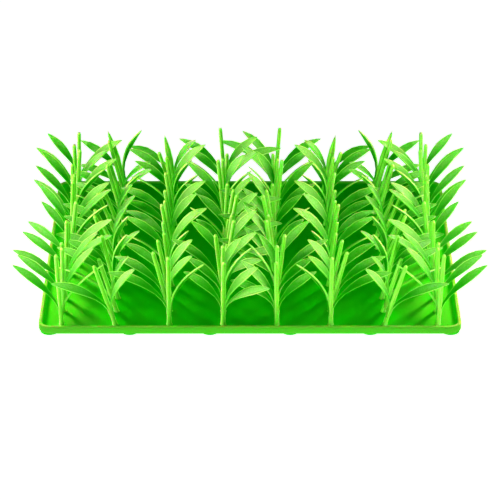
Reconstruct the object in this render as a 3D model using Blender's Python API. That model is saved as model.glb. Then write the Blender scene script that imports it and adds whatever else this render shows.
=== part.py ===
"""Snuffle mat: a shallow silicone tray with eight columns of grass tufts.

Metres, +Z up. The origin is on the surface that the mat stands on, under its middle.
X runs along the mat's long side and the front faces -Y.
"""
import math

import bmesh
import bpy
import numpy as np

# ---------------------------------------------------------------- driving sizes
MILLIMETRE = 0.001
TRAY_LENGTH = 0.300        # along X, outside the rim
TRAY_DEPTH = 0.218         # along Y, outside the rim
CORNER_RADIUS = 0.0085     # outside corner, seen from above
CORNER_STEPS = 5           # straight pieces in each round corner
SMALLEST_RADIUS = 0.002    # of a corner on the rim's inner side
FOOT_HEIGHT = 0.0014       # suction pads lift the tray by this much
FLOOR_THICKNESS = 0.0022
RIM_ABOVE_FLOOR = 0.0038
RIM_WIDTH = 0.0025
EDGE_EASE = 0.0006         # small slope in place of each sharp outer edge of the rim
WALL_DRAFT = 0.0002        # the rim's inner wall leans out by this much
FILLET_HEIGHT = 0.0009     # the inner wall runs into the floor over this slope
FILLET_REACH = 0.0009
GAP = 0.0003               # between a strip of grass and its groove

FLOOR_BOTTOM = FOOT_HEIGHT
FLOOR_TOP = FLOOR_BOTTOM + FLOOR_THICKNESS
RIM_TOP = FLOOR_TOP + RIM_ABOVE_FLOOR

FOOT_COLUMNS = 6
FOOT_ROWS = 4
FOOT_INSET = 0.0078        # from the tray's edge to the outer pads' centres
FOOT_SIDES = 12
FOOT_TOP_RADIUS = 0.0052
FOOT_LAND_RADIUS = 0.0068
FOOT_DISH_RADIUS = 0.0048
FOOT_DISH_DEPTH = 0.0012
FOOT_ROOT = 0.0005         # how far a pad's top reaches into the floor

COLUMN_PITCH = 0.0382
ROWS = 12
ROW_MARGIN = 0.0098        # from the tray's front and back edges to the end rows
ROW_PITCH = (TRAY_DEPTH - 2 * ROW_MARGIN) / (ROWS - 1)

STRIP_WIDTH = 0.0084
STRIP_THICKNESS = 0.0008
STRIP_OVERHANG = 0.0045    # past the end rows

STEM_WIDTH = 0.0032
STEM_DEPTH = 0.0026
SPLIT_HEIGHT = 0.0140      # along the stem, where the two leaves leave it
LEAF_THICKNESS = 0.0016
END_CLEARANCE = 0.0030     # leaves of the end rows stay this far inside the tray's ends

# Leaves of neighbouring columns pass each other in lanes half a row apart, so each
# leaf is turned from the X axis by this slope: outer ones back, inner ones forward.
LANE_SLOPE = 0.5 * ROW_PITCH / COLUMN_PITCH
# Over the middle of the mat the inner leaves of both halves cross: forward from the left
# half and back from the right.
MIDDLE_SLOPE = 0.17

# One entry for each column, from the side of the mat to its middle, and one number for
# each of its tufts, from front to back. Tilts are degrees from upright and lengths are
# millimetres: a stem and an outer leaf lean to the near side, an inner leaf to the
# middle. A leaf's bend is how many degrees its stalk is steeper, and its tip flatter,
# than its tilt. Its roll turns its face from forwards to upwards, and the rows named as
# edge-on have it turned the other way. In the last row a stem is a pointed spear of this
# many millimetres, or a plain one where that is 0.
TUFTS = (
    dict(stem_tilt=(2, -1, 1, -2, -2, -7, -3, -3, 0, -5, 1, -2),
         stem_length=(58, 53, 47, 55, 44, 51, 58, 54, 53, 56, 51, 52),
         outer_tilt=(46, 50, 60, 50, 50, 33, 33, 43, 41, 36, 46, 36),
         outer_length=(47, 44, 44, 43, 40, 41, 47, 44, 45, 47, 44, 42),
         inner_tilt=(45, 30, 31, 47, 44, 38, 38, 39, 34, 41, 37, 46),
         inner_length=(46, 49, 52, 49, 50, 48, 52, 47, 46, 50, 43, 50),
         outer_bend=16, inner_bend=16, outer_roll=34, inner_roll=52,
         outer_edge_on=(), inner_edge_on=(0, 5, 8), spear_width=0),
    dict(stem_tilt=(16, 15, 11, 19, 20, 23, 20, 19, 13, 14, 13, 15),
         stem_length=(51, 46, 54, 44, 52, 48, 51, 43, 54, 45, 56, 55),
         outer_tilt=(60, 66, 60, 60, 71, 63, 64, 60, 64, 63, 66, 50),
         outer_length=(48, 44, 49, 41, 47, 44, 46, 43, 42, 42, 38, 44),
         inner_tilt=(29, 22, 15, 31, 19, 18, 25, 21, 26, 42, 44, 21),
         inner_length=(40, 38, 44, 43, 40, 37, 39, 37, 36, 38, 35, 46),
         outer_bend=20, inner_bend=22, outer_roll=34, inner_roll=60,
         outer_edge_on=(1, 7), inner_edge_on=(2, 4, 8, 11), spear_width=5.4),
    dict(stem_tilt=(0, 13, 10, 6, 8, 9, 8, 9, 8, 7, 16, 10),
         stem_length=(56, 51, 50, 45, 44, 49, 42, 41, 46, 50, 46, 50),
         outer_tilt=(60, 55, 48, 53, 49, 53, 56, 60, 52, 46, 49, 57),
         outer_length=(53, 48, 44, 42, 46, 43, 43, 47, 42, 43, 46, 43),
         inner_tilt=(34, 30, 27, 24, 29, 40, 30, 36, 33, 24, 35, 29),
         inner_length=(47, 42, 44, 39, 49, 46, 42, 48, 40, 39, 50, 39),
         outer_bend=30, inner_bend=22, outer_roll=34, inner_roll=42,
         outer_edge_on=(3, 8), inner_edge_on=(0, 3, 8, 9), spear_width=5.2),
    dict(stem_tilt=(-1, 0, 6, -8, -7, -10, -8, -3, 5, 2, -2, 4),
         stem_length=(52, 55, 54, 56, 50, 57, 51, 46, 57, 48, 43, 56),
         outer_tilt=(48, 44, 51, 36, 38, 46, 37, 49, 38, 44, 47, 51),
         outer_length=(40, 39, 49, 47, 38, 41, 38, 43, 48, 40, 42, 47),
         inner_tilt=(35, 27, 21, 34, 29, 33, 33, 28, 32, 22, 38, 36),
         inner_length=(45, 47, 42, 41, 48, 42, 44, 46, 42, 43, 42, 46),
         outer_bend=24, inner_bend=22, outer_roll=34, inner_roll=42,
         outer_edge_on=(5, 9), inner_edge_on=(1, 8), spear_width=0),
)
# Some tufts beside the middle have one more leaf, which reaches over it flatter and
# farther. Tilts in degrees and lengths in millimetres.
CROSSING_LEAVES = (
    dict(row=0, tilt=60, length=40),
    dict(row=2, tilt=54, length=38),
    dict(row=3, tilt=64, length=49),
    dict(row=5, tilt=62, length=48),
    dict(row=7, tilt=62, length=50),
    dict(row=11, tilt=59, length=54),
)
CROSSING_BEND = math.radians(26)
CROSSING_ROLL = math.radians(34)
# In the front row some leaves leave their lanes. In the order of TUFTS:
FRONT_SLOPES = (
    dict(outer=0.15, inner=0.20),
    dict(outer=-0.13, inner=-0.14),
    dict(outer=LANE_SLOPE, inner=-0.14),
    dict(outer=LANE_SLOPE, inner=-MIDDLE_SLOPE),
)

EDGE_ON_ROLL = math.radians(-62)
# Leaves behind the front row differ by up to this much, either way.
ROLL_WOBBLE = math.radians(16)
SLOPE_WOBBLE = 0.035
SEED = 41

# A leaf's stations from its root: share of its length, and its width in metres.
LEAF_STATIONS = (
    dict(share=0.00, width=0.0016),
    dict(share=0.27, width=0.0020),
    dict(share=0.47, width=0.0048),
    dict(share=0.66, width=0.0063),
    dict(share=0.85, width=0.0042),
)
# A stem's stations: share of its length, and of its full width and depth.
STEM_STATIONS = (
    dict(share=0.00, width=1.15, depth=1.15),
    dict(share=0.30, width=0.92, depth=0.92),
    dict(share=0.96, width=0.75, depth=0.75),
)
SPEAR_STATIONS = (
    dict(share=0.00, width=0.74, depth=1.15),
    dict(share=0.28, width=0.58, depth=0.92),
    dict(share=0.62, width=1.00, depth=0.70),
)

GREEN = (0.098, 0.604, 0.016, 1.0)
SATIN = 0.42               # roughness


# ---------------------------------------------------------------- helpers
def silicone(name):
    material = bpy.data.materials.new(name)
    material.use_nodes = True
    shader = material.node_tree.nodes["Principled BSDF"]
    shader.inputs["Base Color"].default_value = GREEN
    shader.inputs["Roughness"].default_value = SATIN
    shader.inputs["Metallic"].default_value = 0.0
    return material


def mesh_object(name, vertices, faces, cutter=False):
    """Closed shells as one object, triangles facing outwards."""
    mesh = bpy.data.meshes.new(name)
    mesh.from_pydata([tuple(v) for v in vertices], [], faces)
    shape = bmesh.new()
    shape.from_mesh(mesh)
    bmesh.ops.triangulate(shape, faces=shape.faces)
    bmesh.ops.recalc_face_normals(shape, faces=shape.faces)
    shape.to_mesh(mesh)
    shape.free()
    thing = bpy.data.objects.new(name, mesh)
    bpy.context.collection.objects.link(thing)
    if cutter:
        thing.hide_render = True
        thing.display_type = "WIRE"
    return thing


def loft(rings, tip=None):
    """One closed shell from rings of equal point counts, ended by a cap or a tip point."""
    rings = [np.asarray(ring) for ring in rings]
    count = len(rings[0])
    vertices = np.concatenate(rings).tolist()
    faces = [tuple(range(count))]
    for level in range(len(rings) - 1):
        for step in range(count):
            here = level * count + step
            across = level * count + (step + 1) % count
            faces.append((here, across, across + count, here + count))
    last = (len(rings) - 1) * count
    if tip is None:
        faces.append(tuple(range(last, last + count)))
    else:
        vertices.append(list(tip))
        for step in range(count):
            faces.append((last + step, last + (step + 1) % count, len(vertices) - 1))
    return vertices, faces


def gather(shells):
    """Several closed shells as one list of vertices and faces."""
    vertices = []
    faces = []
    for points, sides in shells:
        start = len(vertices)
        vertices.extend(points)
        faces.extend(tuple(index + start for index in side) for side in sides)
    return vertices, faces


def boolean(target, operation, tool):
    step = target.modifiers.new(f"{operation.lower()} {tool.name}", "BOOLEAN")
    step.operation = operation
    step.solver = "EXACT"
    step.object = tool


def box_shell(centre, size):
    half = 0.5 * np.array(size)
    corners = np.array([(-1, -1), (1, -1), (1, 1), (-1, 1)]) * half[:2] + np.array(centre[:2])
    low = np.column_stack([corners, np.full(4, centre[2] - half[2])])
    high = np.column_stack([corners, np.full(4, centre[2] + half[2])])
    return loft([low, high])


# ---------------------------------------------------------------- tray
def tray_outline(inset, height):
    """The tray's rounded rectangle, moved in by inset, at one height."""
    radius = max(CORNER_RADIUS - inset, SMALLEST_RADIUS)
    half_x = TRAY_LENGTH / 2 - inset - radius
    half_y = TRAY_DEPTH / 2 - inset - radius
    points = []
    for quarter, (sign_x, sign_y) in enumerate(((1, 1), (-1, 1), (-1, -1), (1, -1))):
        for step in range(CORNER_STEPS + 1):
            angle = math.pi / 2 * (quarter + step / CORNER_STEPS)
            points.append((sign_x * half_x + radius * math.cos(angle),
                           sign_y * half_y + radius * math.sin(angle), height))
    return points


def foot_shell(x, y):
    """A low flared pad with a shallow dish under it."""
    angles = np.arange(FOOT_SIDES) * 2 * math.pi / FOOT_SIDES

    def circle(radius, height):
        return np.column_stack([x + radius * np.cos(angles), y + radius * np.sin(angles),
                                np.full(FOOT_SIDES, height)])

    rings = [circle(FOOT_TOP_RADIUS, FLOOR_BOTTOM + FOOT_ROOT),
             circle(FOOT_TOP_RADIUS, FLOOR_BOTTOM),
             circle(FOOT_LAND_RADIUS, 0.0),
             circle(FOOT_DISH_RADIUS, 0.0)]
    return loft(rings, tip=(x, y, FOOT_DISH_DEPTH))


def build_tray(column_places):
    wall_foot = RIM_WIDTH + WALL_DRAFT
    profile = (
        (EDGE_EASE, FLOOR_BOTTOM),
        (0.0, FLOOR_BOTTOM + EDGE_EASE),
        (0.0, RIM_TOP - EDGE_EASE),
        (EDGE_EASE, RIM_TOP),
        (RIM_WIDTH - EDGE_EASE, RIM_TOP),
        (RIM_WIDTH, RIM_TOP - EDGE_EASE),
        (wall_foot, FLOOR_TOP + FILLET_HEIGHT),
        (wall_foot + FILLET_REACH, FLOOR_TOP),
    )
    tray = mesh_object("tray", *loft([tray_outline(inset, height) for inset, height in profile]))
    tray.data.materials.append(silicone("tray silicone"))

    span_x = TRAY_LENGTH - 2 * FOOT_INSET
    span_y = TRAY_DEPTH - 2 * FOOT_INSET
    feet = mesh_object("feet", *gather([
        foot_shell(-span_x / 2 + span_x * i / (FOOT_COLUMNS - 1),
                   -span_y / 2 + span_y * j / (FOOT_ROWS - 1))
        for i in range(FOOT_COLUMNS) for j in range(FOOT_ROWS)]), cutter=True)
    boolean(tray, "UNION", feet)

    groove_depth = STRIP_THICKNESS + GAP
    grooves = mesh_object("grooves", *gather([
        box_shell((x, 0, FLOOR_TOP), (STRIP_WIDTH + 2 * GAP, strip_length() + 2 * GAP,
                                      2 * groove_depth))
        for x in column_places]), cutter=True)
    boolean(tray, "DIFFERENCE", grooves)
    return tray


# ---------------------------------------------------------------- grass
def strip_length():
    return (ROWS - 1) * ROW_PITCH + 2 * STRIP_OVERHANG


def bent_line(root, side, slope, tilt_root, tilt_tip, length, shares):
    """Points and directions along a blade that bends evenly from one tilt to another.

    side is -1 or 1 along X, and slope is how far the blade goes back for each metre out."""
    turn = math.atan(slope)
    outward = np.array([side * math.cos(turn), math.sin(turn), 0.0])
    across = np.array([-side * math.sin(turn), math.cos(turn), 0.0])
    up = np.array([0.0, 0.0, 1.0])
    bend = tilt_tip - tilt_root
    line = []
    for share in shares:
        tilt = tilt_root + bend * share
        if bend == 0:
            run = length * share * math.sin(tilt)
            rise = length * share * math.cos(tilt)
        else:
            run = length / bend * (math.cos(tilt_root) - math.cos(tilt))
            rise = length / bend * (math.sin(tilt) - math.sin(tilt_root))
        point = np.array(root) + outward * run + up * rise
        inward = up * math.sin(tilt) - outward * math.cos(tilt)
        line.append((point, inward, across))
    return line


def leaf_shell(root, side, slope, tilt, bend, roll, length):
    """A three-sided leaf: flat in front, with a keel behind, narrow at its stalk."""
    shares = [station["share"] for station in LEAF_STATIONS] + [1.0]
    line = bent_line(root, side, slope, tilt - bend, tilt + bend, length, shares)
    rings = []
    for station, (point, inward, across) in zip(LEAF_STATIONS, line):
        width_way = inward * math.cos(roll) + across * math.sin(roll)
        back_way = across * math.cos(roll) - inward * math.sin(roll)
        half = 0.5 * station["width"]
        rings.append([point + width_way * half - back_way * LEAF_THICKNESS / 3,
                      point - width_way * half - back_way * LEAF_THICKNESS / 3,
                      point + back_way * LEAF_THICKNESS * 2 / 3])
    return loft(rings, tip=line[-1][0])


def stem_shell(root, side, tilt, length, stations, width):
    """A four-sided stem, level at its root, that goes on as the tuft's upright blade."""
    shares = [station["share"] for station in stations] + [1.0]
    line = bent_line(root, side, 0.0, tilt, tilt, length, shares)
    line[0] = (line[0][0], np.array([-side, 0.0, 0.0]), line[0][2])
    rings = []
    for station, (point, inward, across) in zip(stations, line):
        half_width = inward * 0.5 * width * station["width"]
        half_depth = across * 0.5 * STEM_DEPTH * station["depth"]
        rings.append([point + half_width + half_depth, point - half_width + half_depth,
                      point - half_width - half_depth, point + half_width - half_depth])
    return loft(rings, tip=line[-1][0])


def tuft_shape(column, row, wobble):
    """One tuft's tilts and rolls in radians, slopes, and lengths in metres.

    column counts from the side of the mat, and wobble has four numbers from -1 to 1."""
    shape = TUFTS[column]
    inner_lane = MIDDLE_SLOPE if column == len(TUFTS) - 1 else LANE_SLOPE
    tuft = dict(stem_tilt=math.radians(shape["stem_tilt"][row]),
                stem_length=MILLIMETRE * shape["stem_length"][row])
    for leaf, lane, numbers in (("outer", LANE_SLOPE, wobble[:2]),
                                ("inner", -inner_lane, wobble[2:])):
        tuft[f"{leaf}_tilt"] = math.radians(shape[f"{leaf}_tilt"][row])
        tuft[f"{leaf}_bend"] = math.radians(shape[f"{leaf}_bend"])
        tuft[f"{leaf}_length"] = MILLIMETRE * shape[f"{leaf}_length"][row]
        tuft[f"{leaf}_slope"] = lane + SLOPE_WOBBLE * numbers[0]
        tuft[f"{leaf}_roll"] = math.radians(shape[f"{leaf}_roll"]) + ROLL_WOBBLE * numbers[1]
        if row == 0:
            tuft[f"{leaf}_slope"] = FRONT_SLOPES[column][leaf]
            tuft[f"{leaf}_roll"] = math.radians(shape[f"{leaf}_roll"])
        if row in shape[f"{leaf}_edge_on"]:
            tuft[f"{leaf}_roll"] = EDGE_ON_ROLL
    return tuft


def build_column(number, x, column, wobbles):
    """One column of tufts, fused to its strip."""
    side = -1 if x < 0 else 1
    shells = {"stems": [], "outer leaves": [], "inner leaves": [], "crossing leaves": []}
    for row in range(ROWS):
        y = (row - 0.5 * (ROWS - 1)) * ROW_PITCH
        tuft = tuft_shape(column, row, wobbles[row])
        if number == len(TUFTS) + 1:
            tuft["inner_slope"] *= -1
        root = np.array([x, y, FLOOR_TOP - 0.5 * STRIP_THICKNESS])
        is_spear = row == ROWS - 1 and TUFTS[column]["spear_width"] > 0
        shells["stems"].append(stem_shell(
            root, side, tuft["stem_tilt"], tuft["stem_length"],
            SPEAR_STATIONS if is_spear else STEM_STATIONS,
            MILLIMETRE * TUFTS[column]["spear_width"] if is_spear else STEM_WIDTH))
        split = root + SPLIT_HEIGHT * np.array([side * math.sin(tuft["stem_tilt"]), 0.0,
                                                math.cos(tuft["stem_tilt"])])
        leaves = [(f"{leaf} leaves", way, tuft[f"{leaf}_slope"], tuft[f"{leaf}_tilt"],
                   tuft[f"{leaf}_bend"], tuft[f"{leaf}_roll"], tuft[f"{leaf}_length"])
                  for leaf, way in (("outer", side), ("inner", -side))]
        if column == len(TUFTS) - 1:
            leaves += [("crossing leaves", -side, tuft["inner_slope"],
                        math.radians(leaf["tilt"]), CROSSING_BEND, CROSSING_ROLL,
                        MILLIMETRE * leaf["length"])
                       for leaf in CROSSING_LEAVES if leaf["row"] == row]
        room = TRAY_DEPTH / 2 - abs(y) - END_CLEARANCE
        for kind, way, slope, tilt, bend, roll, length in leaves:
            steepest = room / (length * math.sin(tilt))
            slope = min(max(slope, -steepest), steepest)
            shells[kind].append(leaf_shell(split, way, slope, tilt, bend, roll, length))
    name = f"grass_column_{number}"
    strip_size = (STRIP_WIDTH, strip_length(), STRIP_THICKNESS)
    column_object = mesh_object(name, *box_shell((x, 0, FLOOR_TOP - 0.5 * STRIP_THICKNESS),
                                                 strip_size))
    column_object.data.materials.append(silicone(f"{name} silicone"))
    for kind, parts in shells.items():
        if parts:
            boolean(column_object, "UNION", mesh_object(f"{name} {kind}", *gather(parts),
                                                        cutter=True))
    return column_object


def main():
    for thing in list(bpy.data.objects):
        bpy.data.objects.remove(thing, do_unlink=True)
    half = len(TUFTS)
    places = [(index - half + 0.5) * COLUMN_PITCH for index in range(2 * half)]
    build_tray(places)
    wobbles = np.random.default_rng(SEED).uniform(-1, 1, (half, ROWS, 4))
    for index, x in enumerate(places):
        column = min(index, 2 * half - 1 - index)
        build_column(index + 1, x, column, wobbles[column])


main()
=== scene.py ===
"""Snuffle mat of moulded green silicone: a shallow tray of three-bladed grass tufts."""
import math

import bpy
import numpy as np
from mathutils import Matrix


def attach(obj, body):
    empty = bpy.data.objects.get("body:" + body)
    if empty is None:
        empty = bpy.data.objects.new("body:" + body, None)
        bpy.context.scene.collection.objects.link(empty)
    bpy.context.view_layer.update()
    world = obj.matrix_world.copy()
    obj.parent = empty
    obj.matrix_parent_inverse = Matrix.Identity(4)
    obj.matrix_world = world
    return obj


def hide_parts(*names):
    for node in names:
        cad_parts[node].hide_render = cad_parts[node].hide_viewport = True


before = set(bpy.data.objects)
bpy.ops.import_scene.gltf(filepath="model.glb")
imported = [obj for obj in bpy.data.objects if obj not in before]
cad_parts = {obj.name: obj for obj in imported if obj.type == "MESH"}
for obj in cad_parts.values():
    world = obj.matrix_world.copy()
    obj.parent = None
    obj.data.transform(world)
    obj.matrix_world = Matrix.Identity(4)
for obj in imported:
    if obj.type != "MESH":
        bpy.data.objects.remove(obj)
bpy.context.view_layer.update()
studio = bpy.context.scene

# ---------------------------------------------------------------- tray
# The mat is one pour of silicone rubber, pigmented grass green all through and satin from
# a finely blasted mould. Its tray is a soft thin sheet with small round corners and a low
# rounded rim; the sheet ripples a little between the tufts that are moulded on it.
TRAY_LENGTH = 0.300
TRAY_DEPTH = 0.218
CORNER_RADIUS = 0.0085
FLOOR_BOTTOM = 0.0014
FLOOR_TOP = 0.0036
CORNER_STEPS = 12
SIDE_STEPS = (60, 44)          # along X, along Y
UNDER_RINGS = 6
FLOOR_RINGS = 36
SHARP_ANGLE = math.radians(52)
# The section through the rim, from the underside round to the floor. glow is how much
# painted highlight and painted green glow the rim gets: most at the thin round top.
RIM_SECTION = np.array([
    # inset   height   glow
    (0.0060, 0.00140, 0.0),
    (0.0022, 0.00140, 0.0),
    (0.0009, 0.00142, 0.0),
    (0.0003, 0.00165, 0.2),
    (0.0000, 0.00220, 0.4),
    (0.0000, 0.00420, 0.4),
    (0.0000, 0.00640, 0.4),
    (0.0002, 0.00696, 0.9),
    (0.0006, 0.00730, 1.0),
    (0.0013, 0.00740, 1.0),
    (0.0020, 0.00728, 1.0),
    (0.0024, 0.00690, 0.7),
    (0.0026, 0.00610, 0.2),
    (0.0027, 0.00520, 0.0),
    (0.0030, 0.00435, 0.0),
    (0.0037, 0.00380, 0.0),
    (0.0050, 0.00360, 0.0),
])
# The waves in the sheet: share of the ripple's height, radians a metre along X and along
# Y, and phase. They are at full height from a sixth of the way to the middle.
RIPPLE_HEIGHT = 0.00012
RIPPLE_WAVES = (
    (1.0, 95, 60, 0.0),
    (0.7, 41, -130, 1.3),
    (0.5, 170, 25, 2.1),
)
RIPPLE_ONSET = 6

# Colours of the tray, with painted light and a painted highlight among them, and the
# painted green glow that stands in for light passing through it.
SHEET_DEEP = (0.004, 0.44, 0.001, 1)
SHEET_CLEAR = (0.012, 0.58, 0.004, 1)
SHEET_ENDS_PAINTED_LIGHT = (0.032, 0.47, 0.009, 1)
RIM_PAINTED_HIGHLIGHT = (0.210, 0.59, 0.075, 1)
SHEET_PAINTED_GLOW = (0.0, 0.03, 0.0, 1)
BESIDE_RIM_PAINTED_GLOW = (0.0, 0.18, 0.0, 1)
RIM_PAINTED_GLOW = (0.012, 0.11, 0.002, 1)
# Squares of the distance along X from the mat's middle, in square metres, over which
# painted light turns the sheet paler, and over which the painted glow beside the end rim
# comes in.
ENDS_PAINTED_LIGHT = (0.0090, 0.0150)
PAINTED_GLOW_BESIDE_RIM = (0.0190, 0.0216)
# Clouding and mould grain in cells a metre, and the grain's full height in metres.
CLOUD_SCALE = 24.0
GRAIN_SCALE = 900.0
GRAIN_DETAIL = 3.0
TRAY_GRAIN_HEIGHT = 0.00006
TRAY_ROUGHNESS = 0.52
CLOUD_ROUGHNESS = 0.10         # added where the clouding is full
# How far green light travels under the skin, in metres, and how far red, green and blue
# travel as shares of that.
TRAY_SCATTER = 0.001
SCATTER_SHARES = (0.05, 1.0, 0.02)


class Signal:
    """A shader socket: sums, differences and products of it add Math nodes."""

    def __init__(self, maker, socket):
        self.maker = maker
        self.socket = socket

    def _join(self, operation, first, second):
        return self.maker.add("ShaderNodeMath", dict(operation=operation), [first, second])

    def __add__(self, other):
        return self._join("ADD", self, other)

    def __sub__(self, other):
        return self._join("SUBTRACT", self, other)

    def __rsub__(self, other):
        return self._join("SUBTRACT", other, self)

    def __mul__(self, other):
        return self._join("MULTIPLY", self, other)

    __radd__ = __add__
    __rmul__ = __mul__


class Silicone:
    """A node material of silicone rubber. add() makes a node and returns one output."""

    def __init__(self, name):
        self.material = bpy.data.materials.new(name)
        self.material.use_nodes = True
        self.tree = self.material.node_tree
        self.shader = self.tree.nodes["Principled BSDF"]

    def put(self, socket, value):
        if isinstance(value, Signal):
            self.tree.links.new(value.socket, socket)
        else:
            socket.default_value = value

    def add(self, kind, settings, values, output=0):
        """values is a list in socket order, or a table of socket names or numbers."""
        node = self.tree.nodes.new(kind)
        for key, value in settings.items():
            setattr(node, key, value)
        pairs = values.items() if isinstance(values, dict) else enumerate(values)
        for key, value in pairs:
            self.put(node.inputs[key], value)
        return Signal(self, node.outputs[output])

    def attribute(self, name):
        return self.add("ShaderNodeAttribute", dict(attribute_name=name), [], output="Fac")

    def place(self):
        return self.add("ShaderNodeTexCoord", {}, [], output="Object")

    def noise(self, vector, scale, detail=2.0):
        return self.add("ShaderNodeTexNoise", {},
                        dict(Vector=vector, Scale=scale, Detail=detail))

    def grain(self):
        """The fine grain that the blasted mould leaves all over."""
        return self.noise(self.place(), GRAIN_SCALE, GRAIN_DETAIL)

    def ramp(self, value, low, high):
        """0 below low, 1 above high, and smooth between."""
        return self.add("ShaderNodeMapRange", dict(interpolation_type="SMOOTHSTEP"),
                        [value, low, high, 0.0, 1.0])

    def mix(self, share, first, second):
        """Two colours blended by share. The Mix node's colour sockets go by number,
        because its sockets for plain numbers have the same names."""
        return self.add("ShaderNodeMix", dict(data_type="RGBA"),
                        {0: share, 6: first, 7: second}, output=2)

    def finish(self, colour, roughness, relief, depth, painted_glow, scatter):
        """Joins colour, roughness, relief, whose full height is depth in metres, and a
        painted green glow that stands in for light passing through thin places. Under the
        skin green light scatters for about scatter metres, and red and blue are soon lost."""
        bump = self.add("ShaderNodeBump", {}, dict(Strength=1.0, Distance=depth,
                                                   Height=relief))
        self.put(self.shader.inputs["Base Color"], colour)
        # The emission is a painted glow, not a lamp.
        self.put(self.shader.inputs["Emission Color"], painted_glow)
        self.put(self.shader.inputs["Emission Strength"], 1.0)
        self.put(self.shader.inputs["Subsurface Weight"], 1.0)
        self.put(self.shader.inputs["Subsurface Radius"], SCATTER_SHARES)
        self.put(self.shader.inputs["Subsurface Scale"], scatter)
        self.put(self.shader.inputs["Roughness"], roughness)
        self.put(self.shader.inputs["Normal"], bump)
        return self.material


def tube_faces(rings, around):
    """Quads between closed rings laid one after another. They look outwards where each
    ring runs anticlockwise as seen from the next one."""
    level, step = np.meshgrid(np.arange(rings - 1), np.arange(around), indexing="ij")
    here = level * around + step
    beside = level * around + (step + 1) % around
    return np.stack([here, beside, beside + around, here + around], axis=-1).reshape(-1, 4)


def fan_faces(first, around, pole, is_last):
    """Triangles from the ring that begins at first to the point pole, which lies beyond
    the last ring or before the first."""
    here = first + np.arange(around)
    beside = first + (np.arange(around) + 1) % around
    pair = (here, beside) if is_last else (beside, here)
    return np.stack([*pair, np.full(around, pole)], axis=-1)


def tubes(rings, first_poles, last_poles):
    """Closed tubes, all at once, as points and arrays of faces. rings is (tube, station,
    point of the ring, xyz), and each tube's two ends are drawn together at its poles."""
    count, stations, around, _ = rings.shape
    points = np.concatenate([rings.reshape(count, -1, 3), first_poles[:, None],
                             last_poles[:, None]], axis=1)
    size = points.shape[1]
    groups = [tube_faces(stations, around),
              fan_faces(0, around, size - 2, is_last=False),
              fan_faces((stations - 1) * around, around, size - 1, is_last=True)]
    shift = np.arange(count)[:, None, None] * size
    return points.reshape(-1, 3), [(group + shift).reshape(-1, group.shape[1])
                                   for group in groups]


def add_piece(name, surface, material, node=None):
    """A smooth mesh from a surface: its points, its arrays of faces, and a table with a
    number for each point under each name that the material reads."""
    points, groups, values = surface
    faces = [face for group in groups for face in group.tolist()]
    mesh = bpy.data.meshes.new(name)
    mesh.from_pydata(points.tolist(), [], faces)
    mesh.materials.append(material)
    mesh.shade_smooth()
    mesh.set_sharp_from_angle(angle=SHARP_ANGLE)
    for key, numbers in values.items():
        layer = mesh.attributes.new(key, "FLOAT", "POINT")
        layer.data.foreach_set("value", np.ascontiguousarray(numbers, dtype=np.float32))
    piece = bpy.data.objects.new(name, mesh)
    studio.collection.objects.link(piece)
    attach(piece, "root")
    if node:
        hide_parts(node)
    return piece


def outline(inset):
    """The tray's rounded rectangle moved in by inset, anticlockwise from the right end of
    its back corner: each quarter circle is followed by the straight side after it."""
    radius = CORNER_RADIUS - inset
    half = np.array([TRAY_LENGTH, TRAY_DEPTH]) / 2 - inset - radius
    signs = np.array([(1, 1), (-1, 1), (-1, -1), (1, -1)])
    parts = []
    for quarter in range(4):
        angle = np.pi / 2 * (quarter + np.linspace(0, 1, CORNER_STEPS + 1))[:, None]
        turn = np.hstack([np.cos(angle), np.sin(angle)])
        corner = signs[quarter] * half + radius * turn
        following = signs[(quarter + 1) % 4] * half + radius * turn[-1]
        steps = SIDE_STEPS[quarter % 2]
        share = np.arange(1, steps)[:, None] / steps
        parts += [corner, corner[-1] * (1 - share) + following * share]
    return np.concatenate(parts)


def ripple(x, y):
    """Low waves in the sheet: sine waves that cross at odd angles, added up."""
    return RIPPLE_HEIGHT * sum(share * np.sin(x * along_x + y * along_y + phase)
                               for share, along_x, along_y, phase in RIPPLE_WAVES)


def tray_surface():
    """The rim's section carried round the outline, closed under the tray and over its
    floor by copies of the outline that shrink to a pole at the middle."""
    outlines = [outline(inset) for inset in RIM_SECTION[:, 0]]
    under = np.linspace(0, 1, UNDER_RINGS + 1)[1:-1]
    over = np.linspace(1, 0, FLOOR_RINGS + 1)[1:-1]
    flat = np.stack([outlines[0] * share for share in under] + outlines
                    + [outlines[-1] * share for share in over])
    height = np.concatenate([np.full(len(under), FLOOR_BOTTOM), RIM_SECTION[:, 1],
                             np.full(len(over), FLOOR_TOP)])
    glow = np.concatenate([np.zeros(len(under)), RIM_SECTION[:, 2], np.zeros(len(over))])
    rippled = np.zeros(len(flat))
    rippled[-len(over):] = np.clip((1 - over) * RIPPLE_ONSET, 0, 1)
    rise = height[:, None] + rippled[:, None] * ripple(flat[..., 0], flat[..., 1])
    rings = np.concatenate([flat, rise[..., None]], axis=-1)
    under_pole = np.array([(0, 0, FLOOR_BOTTOM)])
    floor_pole = np.array([(0, 0, FLOOR_TOP + ripple(0, 0))])
    points, groups = tubes(rings[None], under_pole, floor_pole)
    around = len(outlines[0])
    return points, groups, dict(glow=np.concatenate([np.repeat(glow, around), [0, 0]]))


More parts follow.
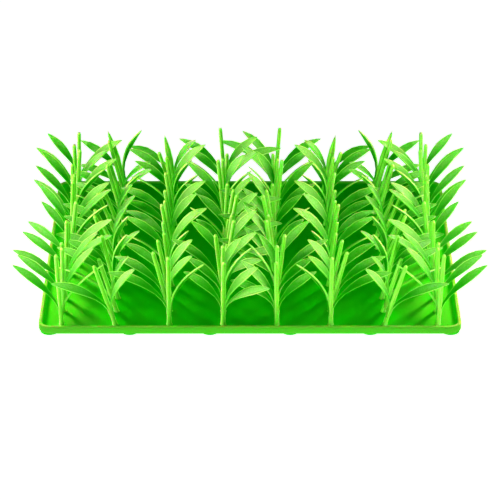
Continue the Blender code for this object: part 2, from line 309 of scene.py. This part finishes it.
def tray_silicone():
    """Deep green on the sheet, with painted light making it a little paler at its two ends,
    and a painted highlight palest along the rim, with broad soft clouding and the fine
    grain of the mould. A painted green glow lies weakly on the sheet, more on the rim and
    most on the sheet beside the two end rims."""
    look = Silicone("tray silicone")
    glow = look.attribute("glow")
    cloud = look.noise(look.place(), CLOUD_SCALE)
    grain = look.grain()
    across = look.add("ShaderNodeSeparateXYZ", {}, [look.place()])
    # Painted light: the sheet turns paler towards its two ends.
    ends = look.ramp(across * across, *ENDS_PAINTED_LIGHT)
    sheet = look.mix(cloud, SHEET_DEEP, SHEET_CLEAR)
    sheet = look.mix(ends, sheet, SHEET_ENDS_PAINTED_LIGHT)
    # Painted highlight: the rim is palest where glow is high.
    colour = look.mix(glow, sheet, RIM_PAINTED_HIGHLIGHT)
    # Painted green glow: weak all over the sheet, strongest on the sheet beside the two end
    # rims.
    beside = look.ramp(across * across, *PAINTED_GLOW_BESIDE_RIM) * (1.0 - glow)
    painted_glow = look.mix(beside, SHEET_PAINTED_GLOW, BESIDE_RIM_PAINTED_GLOW)
    # Painted green glow on the rim, where glow is high.
    painted_glow = look.mix(glow, painted_glow, RIM_PAINTED_GLOW)
    look.shader.inputs["Specular IOR Level"].default_value = 0.0
    return look.finish(colour, TRAY_ROUGHNESS + CLOUD_ROUGHNESS * cloud, grain,
                       TRAY_GRAIN_HEIGHT, painted_glow, TRAY_SCATTER)


tray_finish = tray_silicone()
tray_piece = add_piece("moulded_tray", tray_surface(), tray_finish,
                       node="tray")

# ---------------------------------------------------------------- suction pads
# Under the tray are four rows of six low round pads of the same pour. Each flares to a
# thin lip round a shallow dish, so that the mat grips a smooth floor.
PAD_COLUMNS = 6
PAD_ROWS = 4
PAD_INSET = 0.0078             # from the tray's edge to an outer pad's axis
PAD_SIDES = 28
PAD_SECTION = np.array([
    # radius  height
    (0.0056, 0.00170),
    (0.0053, 0.00138),
    (0.0053, 0.00110),
    (0.0057, 0.00070),
    (0.0064, 0.00035),
    (0.0068, 0.00015),
    (0.0068, 0.00000),
    (0.0064, 0.00000),
    (0.0058, 0.00030),
    (0.0044, 0.00080),
    (0.0022, 0.00112),
])
PAD_DISH = 0.0012              # height of the dish's middle


def pad_surfaces():
    """The section turned about each pad's axis, from its top round its lip to its dish."""
    x = np.linspace(-1, 1, PAD_COLUMNS) * (TRAY_LENGTH / 2 - PAD_INSET)
    y = np.linspace(-1, 1, PAD_ROWS) * (TRAY_DEPTH / 2 - PAD_INSET)
    centres = np.stack(np.meshgrid(x, y), axis=-1).reshape(-1, 1, 1, 2)
    angle = -np.arange(PAD_SIDES) * 2 * np.pi / PAD_SIDES
    turn = np.stack([np.cos(angle), np.sin(angle)], axis=-1)
    radius, height = PAD_SECTION.T[:, None, :, None, None]
    flat = centres + radius * turn
    height = np.broadcast_to(height, flat.shape[:-1] + (1,))
    middle = centres.reshape(-1, 2)
    tops = np.column_stack([middle, np.full(len(middle), PAD_SECTION[0, 1])])
    dishes = np.column_stack([middle, np.full(len(middle), PAD_DISH)])
    return *tubes(np.concatenate([flat, height], axis=-1), tops, dishes), {}


pads_piece = add_piece("suction_pads", pad_surfaces(), tray_finish)

# ---------------------------------------------------------------- grass
# Eight columns of twelve tufts are moulded on the sheet. A tuft is a round stalk on a low
# collar that goes on up as a blunt shoot, at the back in places as a broader spear. Two
# leaves run up its sides as ribs, leave it and arch to either side, thin and pointed.
COLUMN_PITCH = 0.0382
ROWS = 12
ROW_MARGIN = 0.0098
ROW_PITCH = (TRAY_DEPTH - 2 * ROW_MARGIN) / (ROWS - 1)
ROOT_DEPTH = 0.0004            # how far a stalk reaches into the sheet
SPLIT_HEIGHT = 0.0140          # along the stalk, where the two leaves leave it
END_CLEARANCE = 0.0030         # leaves of the end rows stay this far inside the tray
# A leaf's slope is how far it goes backwards for each metre that it goes sideways.
LANE_SLOPE = 0.5 * ROW_PITCH / COLUMN_PITCH
MIDDLE_SLOPE = 0.17            # of the inner leaves that cross over the mat's middle

# One entry for each column, from the side of the mat to its middle, and one number for
# each of its tufts, from front to back. Tilts are degrees from upright and lengths are
# millimetres; a leaf's stalk is steeper by its bend, and its tip flatter. Its roll turns
# its face from forwards to upwards, and the rows named as edge-on have it turned the
# other way. In the last row a shoot is a spear of this many millimetres, or a plain one
# where that is 0.
TUFTS = (
    dict(stem_tilt=(2, -1, 1, -2, -2, -7, -3, -3, 0, -5, 1, -2),
         stem_length=(58, 53, 47, 55, 44, 51, 58, 54, 53, 56, 51, 52),
         outer_tilt=(46, 50, 60, 50, 50, 33, 33, 43, 41, 36, 46, 36),
         outer_length=(47, 44, 44, 43, 40, 41, 47, 44, 45, 47, 44, 42),
         inner_tilt=(45, 30, 31, 47, 44, 38, 38, 39, 34, 41, 37, 46),
         inner_length=(46, 49, 52, 49, 50, 48, 52, 47, 46, 50, 43, 50),
         outer_bend=16, inner_bend=16, outer_roll=34, inner_roll=52,
         outer_edge_on=(), inner_edge_on=(0, 5, 8), spear_width=0),
    dict(stem_tilt=(16, 15, 11, 19, 20, 23, 20, 19, 13, 14, 13, 15),
         stem_length=(51, 46, 54, 44, 52, 48, 51, 43, 54, 45, 56, 55),
         outer_tilt=(60, 66, 60, 60, 71, 63, 64, 60, 64, 63, 66, 50),
         outer_length=(48, 44, 49, 41, 47, 44, 46, 43, 42, 42, 38, 44),
         inner_tilt=(29, 22, 15, 31, 19, 18, 25, 21, 26, 42, 44, 21),
         inner_length=(40, 38, 44, 43, 40, 37, 39, 37, 36, 38, 35, 46),
         outer_bend=20, inner_bend=22, outer_roll=34, inner_roll=60,
         outer_edge_on=(1, 7), inner_edge_on=(2, 4, 8, 11), spear_width=5.4),
    dict(stem_tilt=(0, 13, 10, 6, 8, 9, 8, 9, 8, 7, 16, 10),
         stem_length=(56, 51, 50, 45, 44, 49, 42, 41, 46, 50, 46, 50),
         outer_tilt=(60, 55, 48, 53, 49, 53, 56, 60, 52, 46, 49, 57),
         outer_length=(53, 48, 44, 42, 46, 43, 43, 47, 42, 43, 46, 43),
         inner_tilt=(34, 30, 27, 24, 29, 40, 30, 36, 33, 24, 35, 29),
         inner_length=(47, 42, 44, 39, 49, 46, 42, 48, 40, 39, 50, 39),
         outer_bend=30, inner_bend=22, outer_roll=34, inner_roll=42,
         outer_edge_on=(3, 8), inner_edge_on=(0, 3, 8, 9), spear_width=5.2),
    dict(stem_tilt=(-1, 0, 6, -8, -7, -10, -8, -3, 5, 2, -2, 4),
         stem_length=(52, 55, 54, 56, 50, 57, 51, 46, 57, 48, 43, 56),
         outer_tilt=(48, 44, 51, 36, 38, 46, 37, 49, 38, 44, 47, 51),
         outer_length=(40, 39, 49, 47, 38, 41, 38, 43, 48, 40, 42, 47),
         inner_tilt=(35, 27, 21, 34, 29, 33, 33, 28, 32, 22, 38, 36),
         inner_length=(45, 47, 42, 41, 48, 42, 44, 46, 42, 43, 42, 46),
         outer_bend=24, inner_bend=22, outer_roll=34, inner_roll=42,
         outer_edge_on=(5, 9), inner_edge_on=(1, 8), spear_width=0),
)
# Some tufts beside the middle have one more leaf, which reaches over it flatter and
# farther: its row, its tilt in degrees and its length in millimetres.
CROSSING_LEAVES = np.array([
    (0, 60, 40),
    (2, 54, 38),
    (3, 64, 49),
    (5, 62, 48),
    (7, 62, 50),
    (11, 59, 54),
])
CROSSING_BEND = math.radians(26)
CROSSING_ROLL = math.radians(34)
# In the front row some leaves leave their lanes. In the order of TUFTS:
FRONT_SLOPES = (
    dict(outer=0.15, inner=0.20),
    dict(outer=-0.13, inner=-0.14),
    dict(outer=LANE_SLOPE, inner=-0.14),
    dict(outer=LANE_SLOPE, inner=-MIDDLE_SLOPE),
)
EDGE_ON_ROLL = math.radians(-62)
DEGREE = math.radians(1)
MILLIMETRE = 0.001

# Leaves behind the front row differ by up to this much, either way.
ROLL_WOBBLE = math.radians(16)
SLOPE_WOBBLE = 0.035
WOBBLE_SEED = 41
TONE_SEED = 7
BLADE_KINDS = 4                # shoot, outer leaf, inner leaf, crossing leaf

# Along a stalk and its shoot: share of its length, width, depth, and how far the ring is
# square to the stalk instead of level.
SHOOT_STATIONS = np.array([
    (0.000, 0.0046, 0.0044, 0.0),
    (0.018, 0.0044, 0.0042, 0.0),
    (0.027, 0.0038, 0.0035, 0.0),
    (0.050, 0.0035, 0.0030, 0.5),
    (0.140, 0.0033, 0.0028, 1.0),
    (0.400, 0.0032, 0.0026, 1.0),
    (0.700, 0.0031, 0.0025, 1.0),
    (0.960, 0.0029, 0.0023, 1.0),
    (0.990, 0.0020, 0.0016, 1.0),
])
SPEAR_STATIONS = np.array([
    (0.000, 0.0046, 0.0044, 0.0),
    (0.018, 0.0044, 0.0042, 0.0),
    (0.027, 0.0038, 0.0035, 0.0),
    (0.050, 0.0035, 0.0030, 0.5),
    (0.150, 0.0033, 0.0028, 1.0),
    (0.340, 0.0031, 0.0022, 1.0),
    (0.560, 0.0050, 0.0017, 1.0),
    (0.740, 0.0044, 0.0015, 1.0),
    (0.930, 0.0019, 0.0011, 1.0),
])
SPEAR_STALK = 0.40             # share of a spear's length below its blade
STALK_SIDES = 8
# Up a leaf's rib, below the split: share of the rib's length, share of its offset from
# the stalk's axis, width, thickness, and the share of the leaf's length for the material.
RIB_STATIONS = np.array([
    (-1.00, 0.50, 0.0012, 0.0010, -0.2),
    (-0.45, 0.95, 0.0016, 0.0016, -0.1),
])
RIB_LENGTH = 0.0100
RIB_OFFSET = 0.0011
RIB_FADE = 0.25                # share of a leaf's length over which its offset ends
# Along a leaf from the split: share of its length, width and thickness.
LEAF_STATIONS = np.array([
    (0.00, 0.0016, 0.0017),
    (0.13, 0.0017, 0.0016),
    (0.27, 0.0024, 0.0014),
    (0.42, 0.0044, 0.0013),
    (0.56, 0.0059, 0.0012),
    (0.69, 0.0063, 0.0012),
    (0.82, 0.0050, 0.0011),
    (0.93, 0.0026, 0.0010),
    (0.985, 0.0010, 0.0007),
])
# A leaf's section: across from -1 to 1, and depth from front to back in thicknesses. The
# front has a shallow channel down its middle, and the two edges are flat.
LEAF_SECTION = np.array([
    (-1.00, 0.42), (-1.00, -0.42), (-0.50, -0.50), (0.00, -0.28), (0.50, -0.50),
    (1.00, -0.42), (1.00, 0.42), (0.00, 0.55),
])
LEAF_KEYS = ("slope", "tilt", "length", "bend", "roll")
CUP = 0.05                     # how far a leaf's edges come forward, in widths
UP = np.array([0.0, 0.0, 1.0])

# Colours of the blades, with painted shade, painted highlights and painted sheen among
# them, the painted green glow that stands in for light passing through them, and their
# gloss.
ROOT_PAINTED_SHADE = (0.0, 0.25, 0.0, 1)
TIP_GREEN = (0.070, 0.51, 0.0, 1)
BLOOM_AND_PAINTED_SHEEN = (0.285, 0.68, 0.225, 1)
SHOOT_GREEN = (0.150, 0.54, 0.016, 1)
INSET_PAINTED_SHADE = (0.010, 0.30, 0.0, 1)
EDGE_PAINTED_HIGHLIGHT = (0.400, 0.90, 0.160, 1)
CAP_PAINTED_HIGHLIGHT = (0.350, 0.92, 0.120, 1)
BLADE_PAINTED_GLOW = (0.0, 0.10, 0.0, 1)
EDGE_PAINTED_GLOW = (0.040, 0.26, 0.008, 1)
GLOSS_TINT = (0.8, 1.0, 0.30, 1)
GLOSS_LEVEL = 0.6
# Where a blade's painted edge highlight, painted inset shade, painted cap highlight,
# painted root shade and bloom set in and where they are full: the first two by the square
# of how far across it is, the next two by the share of its length, the last by the grain.
EDGE_HIGHLIGHT_LINE = (0.58, 0.80)
INSET_SHADE_BAND = (0.18, 0.52)
CAP_HIGHLIGHT_LINE = (0.955, 0.975)
PAINTED_SHADE_FADE = (0.30, 0.95)
BLOOM_GRAIN = (0.32, 0.68)
SHOOT_EDGE = 0.10              # a shoot's painted edge highlight begins this much nearer its middle
TONE_HEIGHT = 0.12             # a paler blade turns pale this much lower down,
SHOOT_HEIGHT = 0.6             # and a shoot this much lower than a leaf
VEIN_BLOOM = 0.35              # the bloom and painted sheen come from these three added up
TONE_BLOOM = 0.12
GRAIN_BLOOM = 0.34
SHOOT_SHARE = 0.60             # of its own green in a shoot
INSET_SHADE_SHARE = 0.50             # of the painted shade inside a leaf's edges
ROOT_EDGE_HIGHLIGHT = 0.30               # of the painted edge highlight that is left at the root
# The veins' pattern: cells over a half width, a metre of length and a step of tone.
VEINS_ACROSS = 9.0
VEINS_ALONG = 130.0
VEINS_TONE = 17.0
BLADE_ROUGHNESS = 0.64
VEIN_ROUGHNESS = 0.10
VEIN_RELIEF = 1.2              # where the grain's is 1
BLADE_RELIEF_HEIGHT = 0.00007
BLADE_SCATTER = 0.003


def tuft_tables():
    """Every tuft's measures as arrays of (column from side to middle, row), in radians
    and metres, with the seeded differences added. Those come in fours for each tuft: the
    outer leaf's slope and roll, then the inner leaf's."""
    columns = len(TUFTS)
    wobble = np.random.default_rng(WOBBLE_SEED).uniform(-1, 1, (columns, ROWS, 4))

    def table(name, unit):
        return unit * np.array([shape[name] for shape in TUFTS], dtype=float)

    def every_row(name, unit):
        return np.tile(table(name, unit), (ROWS, 1)).T

    tufts = dict(stem_tilt=table("stem_tilt", DEGREE),
                 stem_length=table("stem_length", MILLIMETRE),
                 spear_width=every_row("spear_width", MILLIMETRE))
    inner_lanes = np.array([-LANE_SLOPE] * (columns - 1) + [-MIDDLE_SLOPE])[:, None]
    for leaf, lane, first in (("outer", LANE_SLOPE, 0), ("inner", inner_lanes, 2)):
        own_roll = table(f"{leaf}_roll", DEGREE)
        slope = lane + SLOPE_WOBBLE * wobble[..., first]
        roll = own_roll[:, None] + ROLL_WOBBLE * wobble[..., first + 1]
        slope[:, 0] = [front[leaf] for front in FRONT_SLOPES]
        roll[:, 0] = own_roll
        for column in range(columns):
            roll[column, list(TUFTS[column][f"{leaf}_edge_on"])] = EDGE_ON_ROLL
        tufts[f"{leaf}_slope"] = slope
        tufts[f"{leaf}_tilt"] = table(f"{leaf}_tilt", DEGREE)
        tufts[f"{leaf}_length"] = table(f"{leaf}_length", MILLIMETRE)
        tufts[f"{leaf}_bend"] = every_row(f"{leaf}_bend", DEGREE)
        tufts[f"{leaf}_roll"] = roll
    return tufts


def frames(side, slope, tilt):
    """Directions at each station: outward along the ground, along the blade, inward
    square to it in its upright plane, and level across it."""
    turn = np.arctan(slope)[:, None]
    zero = np.zeros_like(turn)
    outward = np.stack([side * np.cos(turn), np.sin(turn), zero], axis=-1)
    across = np.stack([-side * np.sin(turn), np.cos(turn), zero], axis=-1)
    sine, cosine = np.sin(tilt)[..., None], np.cos(tilt)[..., None]
    along = outward * sine + UP * cosine
    inward = UP * sine - outward * cosine
    return outward, along, inward, np.broadcast_to(across, along.shape)


def ring_points(centres, first_way, second_way, section, side):
    """The section's two coordinates laid along two directions at each centre. For blades
    on the right the ring is reversed, so that every ring runs the same way round."""
    rings = (centres[..., None, :] + first_way[..., None, :] * section[..., :1]
             + second_way[..., None, :] * section[..., 1:])
    return rings[:, :, ::-1] if side > 0 else rings


def stalks(roots, side, tilt, length, spear_width):
    """Stalks with their collars and shoots: an oval section carried up a straight line.
    Above a spear's stalk the widths are those of the table scaled to its own width."""
    spears = ((np.arange(ROWS) == ROWS - 1) & (spear_width > 0))[:, None, None]
    stations = np.where(spears, SPEAR_STATIONS, SHOOT_STATIONS)
    share, width, depth, square = np.moveaxis(stations, -1, 0)
    blade = spears[..., 0] & (share > SPEAR_STALK)
    widest = SPEAR_STATIONS[:, 1].max()
    width = np.where(blade, width * spear_width[:, None] / widest, width)
    _, along, _, _ = frames(side, np.zeros(ROWS), tilt[:, None])
    centres = roots[:, None] + along * (length[:, None] * share)[..., None]
    _, _, inward, across = frames(side, np.zeros(ROWS), tilt[:, None] * square)
    angle = np.arange(STALK_SIDES) * 2 * np.pi / STALK_SIDES
    oval = np.stack([0.5 * width[..., None] * np.cos(angle),
                     0.5 * depth[..., None] * np.sin(angle)], axis=-1)
    rings = ring_points(centres, inward, across, oval, side)
    points, groups = tubes(rings, roots, roots + along[:, 0] * length[:, None])
    reach = np.repeat(share, STALK_SIDES, axis=1)
    reach = np.concatenate([reach, np.zeros((ROWS, 1)), np.ones((ROWS, 1))], axis=1)
    facing = np.tile(np.cos(angle), (ROWS, len(share[0])))
    facing = np.concatenate([facing, np.zeros((ROWS, 2))], axis=1)
    return points, groups, dict(along=reach, across=facing, metres=reach * length[:, None],
                                shoot=np.ones_like(reach))


def leaves(splits, side, stem_tilt, slope, tilt, bend, roll, length):
    """Leaves whose tilt grows evenly from root to tip, so that each is an arc, led up the
    stalk's side by a rib. The leaf's section is carried along, wide and thin. The arc has
    gone out by its radius times the fall of its tilt's cosine, and up by the radius times
    the rise of its sine."""
    leaf_share, leaf_width, leaf_thickness = LEAF_STATIONS.T
    share = np.append(leaf_share, 1.0)
    start = (tilt - bend)[:, None]
    turned = start + 2 * bend[:, None] * share
    radius = (length / (2 * bend))[:, None]
    outward, _, _, _ = frames(side, slope, start)
    beside = RIB_OFFSET * np.clip(1 - share / RIB_FADE, 0, 1) ** 2
    run = radius * (np.cos(start) - np.cos(turned)) + beside
    rise = radius * (np.sin(turned) - np.sin(start))
    arc = splits[:, None] + outward * run[..., None] + UP * rise[..., None]

    rib_share, rib_offset, rib_width, rib_thickness, rib_reach = RIB_STATIONS.T
    rib_tilt = np.repeat(stem_tilt[:, None], len(rib_share), axis=1)
    rib_outward, rib_along, _, _ = frames(side, slope, rib_tilt)
    rib = (splits[:, None] + rib_along * (rib_share * RIB_LENGTH)[:, None]
           + rib_outward * (RIB_OFFSET * rib_offset)[:, None])

    centres = np.concatenate([rib, arc[:, :-1]], axis=1)
    tilts = np.concatenate([rib_tilt, turned[:, :-1]], axis=1)
    width = np.concatenate([rib_width, leaf_width])[:, None]
    thickness = np.concatenate([rib_thickness, leaf_thickness])[:, None]
    _, _, inward, across = frames(side, slope, tilts)
    sine, cosine = np.sin(roll)[:, None, None], np.cos(roll)[:, None, None]
    width_way = inward * cosine + across * sine
    back_way = across * cosine - inward * sine
    u, v = LEAF_SECTION.T
    section = np.stack([0.5 * width * u, thickness * v - CUP * width * u ** 2], axis=-1)
    rings = ring_points(centres, width_way, back_way, section[None], side)
    points, groups = tubes(rings, centres[:, 0], arc[:, -1])

    count = len(splits)
    facing = np.tile(u[::-1] if side > 0 else u, len(width))
    facing = np.tile(np.append(facing, [0, 0]), (count, 1))
    reach = np.repeat(np.concatenate([rib_reach, leaf_share]), len(u))
    reach = np.tile(np.append(reach, [rib_reach[0], 1]), (count, 1))
    return points, groups, dict(along=reach, across=facing, metres=reach * length[:, None],
                                shoot=np.zeros_like(reach))


def grass_column(index, tufts, tones):
    """All the stalks and leaves of one column as one surface with its values. The mat's
    right half mirrors its left half, but the inner leaves at the middle lean past each
    other. Leaves of the end rows slope no more than the tray has room for."""
    half = len(TUFTS)
    x = (index - half + 0.5) * COLUMN_PITCH
    side = -1 if x < 0 else 1
    column = min(index, 2 * half - 1 - index)
    own = {name: table[column] for name, table in tufts.items()}
    if index == half:
        own["inner_slope"] = -own["inner_slope"]
    y = (np.arange(ROWS) - 0.5 * (ROWS - 1)) * ROW_PITCH
    roots = np.column_stack([np.full(ROWS, x), y, np.full(ROWS, FLOOR_TOP - ROOT_DEPTH)])
    splits = roots + SPLIT_HEIGHT * np.column_stack([
        side * np.sin(own["stem_tilt"]), np.zeros(ROWS), np.cos(own["stem_tilt"])])
    room = TRAY_DEPTH / 2 - np.abs(y) - END_CLEARANCE
    made = [stalks(roots, side, own["stem_tilt"], own["stem_length"], own["spear_width"])]
    every = np.arange(ROWS)
    kinds = [(every, side, *(own[f"outer_{key}"] for key in LEAF_KEYS)),
             (every, -side, *(own[f"inner_{key}"] for key in LEAF_KEYS))]
    if column == half - 1:
        rows, tilt, length = CROSSING_LEAVES.T
        kinds.append((rows, -side, own["inner_slope"][rows], np.radians(tilt),
                      MILLIMETRE * length, np.full(len(rows), CROSSING_BEND),
                      np.full(len(rows), CROSSING_ROLL)))
    for rows, way, slope, tilt, length, bend, roll in kinds:
        steepest = room[rows] / (length * np.sin(tilt))
        made.append(leaves(splits[rows], way, own["stem_tilt"][rows] * way * side,
                           np.clip(slope, -steepest, steepest), tilt, bend, roll, length))
    points, groups, values = [], [], dict(along=[], across=[], metres=[], shoot=[], tone=[])
    shift = 0
    for (some, faces, numbers), tone in zip(made, tones):
        count = len(numbers["along"])
        groups += [group + shift for group in faces]
        points.append(some)
        shift += len(some)
        for key, table in numbers.items():
            values[key].append(table.ravel())
        values["tone"].append(np.repeat(tone[:count], len(some) // count))
    return (np.concatenate(points), groups,
            {key: np.concatenate(tables) for key, tables in values.items()})


def grass_silicone():
    """Painted shade makes a blade deep green at its root, and it is paler to its tip, a
    little different from blade to blade, with a chalky bloom, partly painted sheen, along
    faint lengthwise veins. The thin edges carry a painted highlight and the most painted
    green glow, and a shoot's top a painted highlight. Just inside the edges painted shade
    makes a leaf a deeper green."""
    look = Silicone("grass silicone")
    along = look.attribute("along")
    across = look.attribute("across")
    tone = look.attribute("tone")
    shoot = look.attribute("shoot")
    square = across * across
    # Painted highlight along a blade's thin edges.
    edge_highlight = look.ramp(square + SHOOT_EDGE * shoot, *EDGE_HIGHLIGHT_LINE)
    # Painted shade just inside a leaf's edges.
    inset = look.ramp(square, *INSET_SHADE_BAND) * (1.0 - shoot)
    # Painted highlight on the top of a shoot.
    cap_highlight = look.ramp(along, *CAP_HIGHLIGHT_LINE) * shoot
    vein_place = look.add("ShaderNodeCombineXYZ", {},
                          [across * VEINS_ACROSS, look.attribute("metres") * VEINS_ALONG,
                           tone * VEINS_TONE])
    veins = look.noise(vein_place, 1.0, 1.0)
    grain = look.grain()
    # Painted shade: height runs from the dark root to the paler tip, and also scales the
    # painted sheen and the painted edge highlight.
    height = look.ramp(along + TONE_HEIGHT * tone + SHOOT_HEIGHT * shoot, *PAINTED_SHADE_FADE)
    chalk = look.ramp(grain, *BLOOM_GRAIN)
    # Bloom along the veins and grain, partly painted sheen, as it grows towards the tip
    # with height.
    bloom = (VEIN_BLOOM * veins + TONE_BLOOM * tone + GRAIN_BLOOM * chalk) * height
    line = edge_highlight * (ROOT_EDGE_HIGHLIGHT + (1.0 - ROOT_EDGE_HIGHLIGHT) * height)
    body = look.mix(height, ROOT_PAINTED_SHADE, TIP_GREEN)
    body = look.mix(bloom, body, BLOOM_AND_PAINTED_SHEEN)
    body = look.mix(SHOOT_SHARE * shoot * height, body, SHOOT_GREEN)
    body = look.mix(INSET_SHADE_SHARE * inset, body, INSET_PAINTED_SHADE)
    body = look.mix(line, body, EDGE_PAINTED_HIGHLIGHT)
    colour = look.mix(cap_highlight, body, CAP_PAINTED_HIGHLIGHT)
    # Painted green glow on the blades, strongest along the edges.
    painted_glow = look.mix(line, BLADE_PAINTED_GLOW, EDGE_PAINTED_GLOW)
    look.shader.inputs["Specular IOR Level"].default_value = GLOSS_LEVEL
    look.shader.inputs["Specular Tint"].default_value = GLOSS_TINT
    return look.finish(colour, BLADE_ROUGHNESS - VEIN_ROUGHNESS * veins,
                       grain + VEIN_RELIEF * veins, BLADE_RELIEF_HEIGHT, painted_glow,
                       BLADE_SCATTER)


grass_finish = grass_silicone()
left_grass = bpy.data.collections.new("left grass")
right_grass = bpy.data.collections.new("right grass")
tuft_measures = tuft_tables()
column_count = 2 * len(TUFTS)
blade_tones = np.random.default_rng(TONE_SEED).uniform(
    -1, 1, (column_count, BLADE_KINDS, ROWS))
for number in range(column_count):
    tufts_piece = add_piece(f"grass_tufts_{number + 1}",
                            grass_column(number, tuft_measures, blade_tones[number]),
                            grass_finish,
                            node=f"grass_column_{number + 1}")
    (left_grass if number < len(TUFTS) else right_grass).objects.link(tufts_piece)

# ---------------------------------------------------------------- floor of the studio
# The mat lies on a broad white board that glows a little, as a light table does, so that
# no hard shadow gathers round it. It isn't mirrored in the mat.
BOARD_HALF = 4.0
BOARD_WHITE = (0.9, 0.9, 0.9, 1)
BOARD_ROUGHNESS = 0.9
BOARD_LIGHT = (1, 1, 1, 1)
BOARD_GLOW = 0.95
board_mesh = bpy.data.meshes.new("white board")
board_mesh.from_pydata([(-BOARD_HALF, -BOARD_HALF, 0), (BOARD_HALF, -BOARD_HALF, 0),
                        (BOARD_HALF, BOARD_HALF, 0), (-BOARD_HALF, BOARD_HALF, 0)],
                       [], [(0, 1, 2, 3)])
board = bpy.data.objects.new("white_board", board_mesh)
studio.collection.objects.link(board)
board_paint = bpy.data.materials.new("white board")
board_paint.use_nodes = True
board_shader = board_paint.node_tree.nodes["Principled BSDF"]
board_shader.inputs["Base Color"].default_value = BOARD_WHITE
board_shader.inputs["Roughness"].default_value = BOARD_ROUGHNESS
board_shader.inputs["Specular IOR Level"].default_value = 0.0
board_shader.inputs["Emission Color"].default_value = BOARD_LIGHT
board_shader.inputs["Emission Strength"].default_value = BOARD_GLOW
board_mesh.materials.append(board_paint)
board.visible_glossy = False

# ---------------------------------------------------------------- light and camera
# A soft box on either side lights its own half of the grass. Two small low ones behind
# light the tray alone, in streaks between the stalks. A low one in front, a weak one
# overhead, both slightly green, and a pale surround fill the shade without gloss.
SIDE_BOX = dict(place=(0.87, -0.30, 0.43), aim=(0.08, 0.0, 0.03), size=(0.30, 0.30),
                power=9.4, spread=120, colour=(1.0, 0.60, 0.78))
BACK_BOX = dict(place=(0.43, 0.31, 0.27), aim=(0.125, -0.075, 0.0), size=(0.10, 0.10),
                power=0.26, spread=20, colour=(1.0, 0.54, 0.50))
FRONT_BOX = dict(place=(0.0, -1.30, 0.30), aim=(0.0, 0.0, 0.03), size=(0.60, 0.30),
                 power=3.0, spread=120, colour=(0.80, 1.0, 0.35))
OVERHEAD_BOX = dict(place=(0.0, 0.25, 1.30), aim=(0.0, 0.0, 0.0), size=(0.90, 0.90),
                    power=0.8, spread=180, colour=(0.62, 1.0, 0.55))
SURROUND_WHITE = (1, 1, 1, 1)
SURROUND_GLOW = 0.05
CAMERA_PLACE = (0.0, -1.554, 0.9045)
CAMERA_TILT = math.radians(60)  # up from looking straight down
LENS_LENGTH = 173.2            # in millimetres, as the sensor's width is
SENSOR_WIDTH = 36.0
FARTHEST_SEEN = 10.0


def soft_box(name, box, side, lit):
    """An oblong lamp turned to its aim, on the right where side is 1 and on the left where
    it is -1. It lights only the pieces in lit, or else all of them, but without gloss."""
    lamp = bpy.data.lights.new(name, "AREA")
    lamp.shape = "RECTANGLE"
    lamp.size, lamp.size_y = box["size"]
    lamp.energy = box["power"]
    lamp.spread = math.radians(box["spread"])
    lamp.color = box["colour"]
    mirror = np.array([side, 1, 1])
    holder = bpy.data.objects.new(name, lamp)
    holder.location = mirror * box["place"]
    way = mirror * (np.array(box["aim"]) - np.array(box["place"]))
    ground_way = math.hypot(way[0], way[1])
    holder.rotation_euler = (math.atan2(ground_way, -way[2]), 0.0,
                             math.atan2(-way[0], way[1]))
    studio.collection.objects.link(holder)
    if lit:
        holder.light_linking.receiver_collection = lit
    else:
        holder.visible_glossy = False


tray_pieces = bpy.data.collections.new("tray pieces")
tray_pieces.objects.link(tray_piece)
tray_pieces.objects.link(pads_piece)
soft_box("left_box", SIDE_BOX, -1, left_grass)
soft_box("right_box", SIDE_BOX, 1, right_grass)
soft_box("left_back_box", BACK_BOX, -1, tray_pieces)
soft_box("right_back_box", BACK_BOX, 1, tray_pieces)
soft_box("front_box", FRONT_BOX, 1, None)
soft_box("overhead_box", OVERHEAD_BOX, 1, None)

surround = bpy.data.worlds.new("pale surround")
surround.use_nodes = True
surround_shader = surround.node_tree.nodes["Background"]
surround_shader.inputs["Color"].default_value = SURROUND_WHITE
surround_shader.inputs["Strength"].default_value = SURROUND_GLOW
studio.world = surround
surround.cycles_visibility.glossy = False
studio.view_settings.view_transform = "Standard"

lens = bpy.data.cameras.new("camera")
lens.lens = LENS_LENGTH
lens.sensor_width = SENSOR_WIDTH
lens.clip_end = FARTHEST_SEEN
camera = bpy.data.objects.new("camera", lens)
camera.location = CAMERA_PLACE
camera.rotation_euler = (CAMERA_TILT, 0.0, 0.0)
studio.collection.objects.link(camera)
studio.camera = camera
